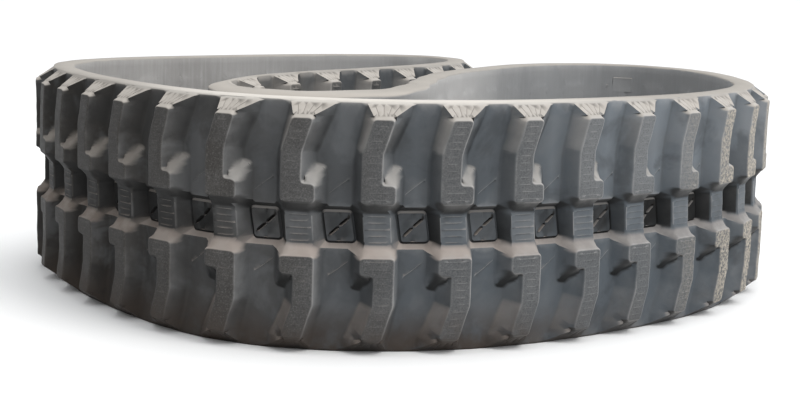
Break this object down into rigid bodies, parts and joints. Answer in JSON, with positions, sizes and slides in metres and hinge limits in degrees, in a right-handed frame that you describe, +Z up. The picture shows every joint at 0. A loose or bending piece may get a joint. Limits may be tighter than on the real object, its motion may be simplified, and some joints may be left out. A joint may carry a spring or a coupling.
{
  "type": "rubber track",
  "caption": "Endless rubber crawler track with offset block lugs outside and steel guide horns inside, stored on its edge with one side folded in.",
  "frame": {"origin": "centre of the base, on the floor the track stands on", "axes": "+Z up, across the belt's width; X and Y lie in the floor, with the long front wall facing -Y"},
  "size_m": [0.9146, 0.8628, 0.2513],
  "materials": {
    "tread_rubber": "worn matte rubber, dusty",
    "roller_rubber": "smooth worn rubber",
    "cord_steel": "brass-coated cord",
    "core_steel": "forged, scaled and worn"
  },
  "bodies": {
    "root": {"tread_rubber": "tread_rubber", "inner_rubber": "roller_rubber", "lower_cord_band": "cord_steel", "upper_cord_band": "cord_steel", "steel_core_01": "core_steel", "steel_core_02": "core_steel", "steel_core_03": "core_steel", "steel_core_04": "core_steel", "steel_core_05": "core_steel", "steel_core_06": "core_steel", "steel_core_07": "core_steel", "steel_core_08": "core_steel", "steel_core_09": "core_steel", "steel_core_10": "core_steel", "steel_core_11": "core_steel", "steel_core_12": "core_steel", "steel_core_13": "core_steel", "steel_core_14": "core_steel", "steel_core_15": "core_steel", "steel_core_16": "core_steel", "steel_core_17": "core_steel", "steel_core_18": "core_steel", "steel_core_19": "core_steel", "steel_core_20": "core_steel", "steel_core_21": "core_steel", "steel_core_22": "core_steel", "steel_core_23": "core_steel", "steel_core_24": "core_steel", "steel_core_25": "core_steel", "steel_core_26": "core_steel", "steel_core_27": "core_steel", "steel_core_28": "core_steel", "steel_core_29": "core_steel", "steel_core_30": "core_steel", "steel_core_31": "core_steel", "steel_core_32": "core_steel", "steel_core_33": "core_steel", "steel_core_34": "core_steel", "steel_core_35": "core_steel", "steel_core_36": "core_steel", "steel_core_37": "core_steel", "steel_core_38": "core_steel", "steel_core_39": "core_steel", "steel_core_40": "core_steel", "steel_core_41": "core_steel", "steel_core_42": "core_steel", "steel_core_43": "core_steel", "steel_core_44": "core_steel", "steel_core_45": "core_steel", "steel_core_46": "core_steel", "steel_core_47": "core_steel", "steel_core_48": "core_steel", "steel_core_49": "core_steel", "steel_core_50": "core_steel", "steel_core_51": "core_steel", "steel_core_52": "core_steel", "steel_core_53": "core_steel"}
  },
  "joints": []
}
